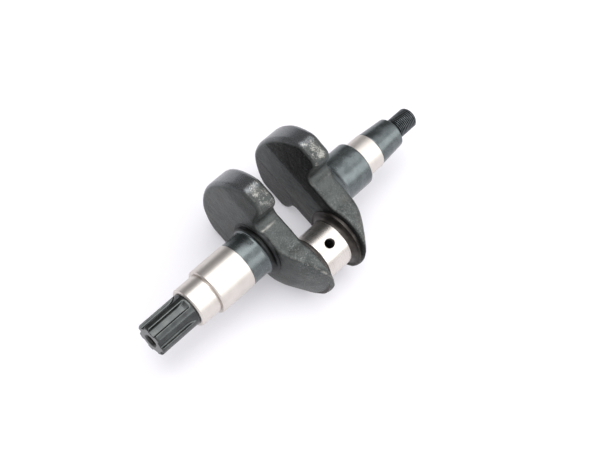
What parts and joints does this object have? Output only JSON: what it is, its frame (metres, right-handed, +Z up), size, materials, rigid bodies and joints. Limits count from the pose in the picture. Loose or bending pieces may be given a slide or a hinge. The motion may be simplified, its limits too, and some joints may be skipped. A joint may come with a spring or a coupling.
{
  "type": "crankshaft",
  "caption": "Forged one-throw engine crankshaft with counterweighted webs, splined output end, ground seats, keyed taper and threaded flywheel end.",
  "frame": {"origin": "on the main axis in the middle of the drive bearing seat", "axes": "+X along the main axis towards the threaded flywheel end, +Z up with the crankshaft lying on its side on the lower heels of both counterweights and the pin ends of both webs"},
  "size_m": [0.258, 0.1105, 0.0876],
  "materials": {
    "forged_steel": "shot-blasted forging scale, matt dark grey-green, with bare trimmed patches on the flanks",
    "ground_steel": "fine ground, warm light silver",
    "black_oxide": "turned and blackened, smooth satin",
    "black_spline": "milled and blackened, satin",
    "black_thread": "cut thread, blackened",
    "plug_steel": "bare steel, dull"
  },
  "bodies": {
    "root": {"spline_stub": "black_spline", "seal_seat": "ground_steel", "drive_bearing_seat": "ground_steel", "drive_shank": "black_oxide", "drive_boss": "forged_steel", "drive_web": "forged_steel", "drive_counterweight": "forged_steel", "drive_pin_collar": "forged_steel", "crankpin": "ground_steel", "flywheel_pin_collar": "forged_steel", "flywheel_web": "forged_steel", "flywheel_counterweight": "forged_steel", "flywheel_boss": "forged_steel", "flywheel_shank": "black_oxide", "flywheel_seal_seat": "ground_steel", "flywheel_taper": "black_oxide", "flywheel_thread": "black_thread", "oil_gallery_plug": "plug_steel"}
  },
  "joints": []
}
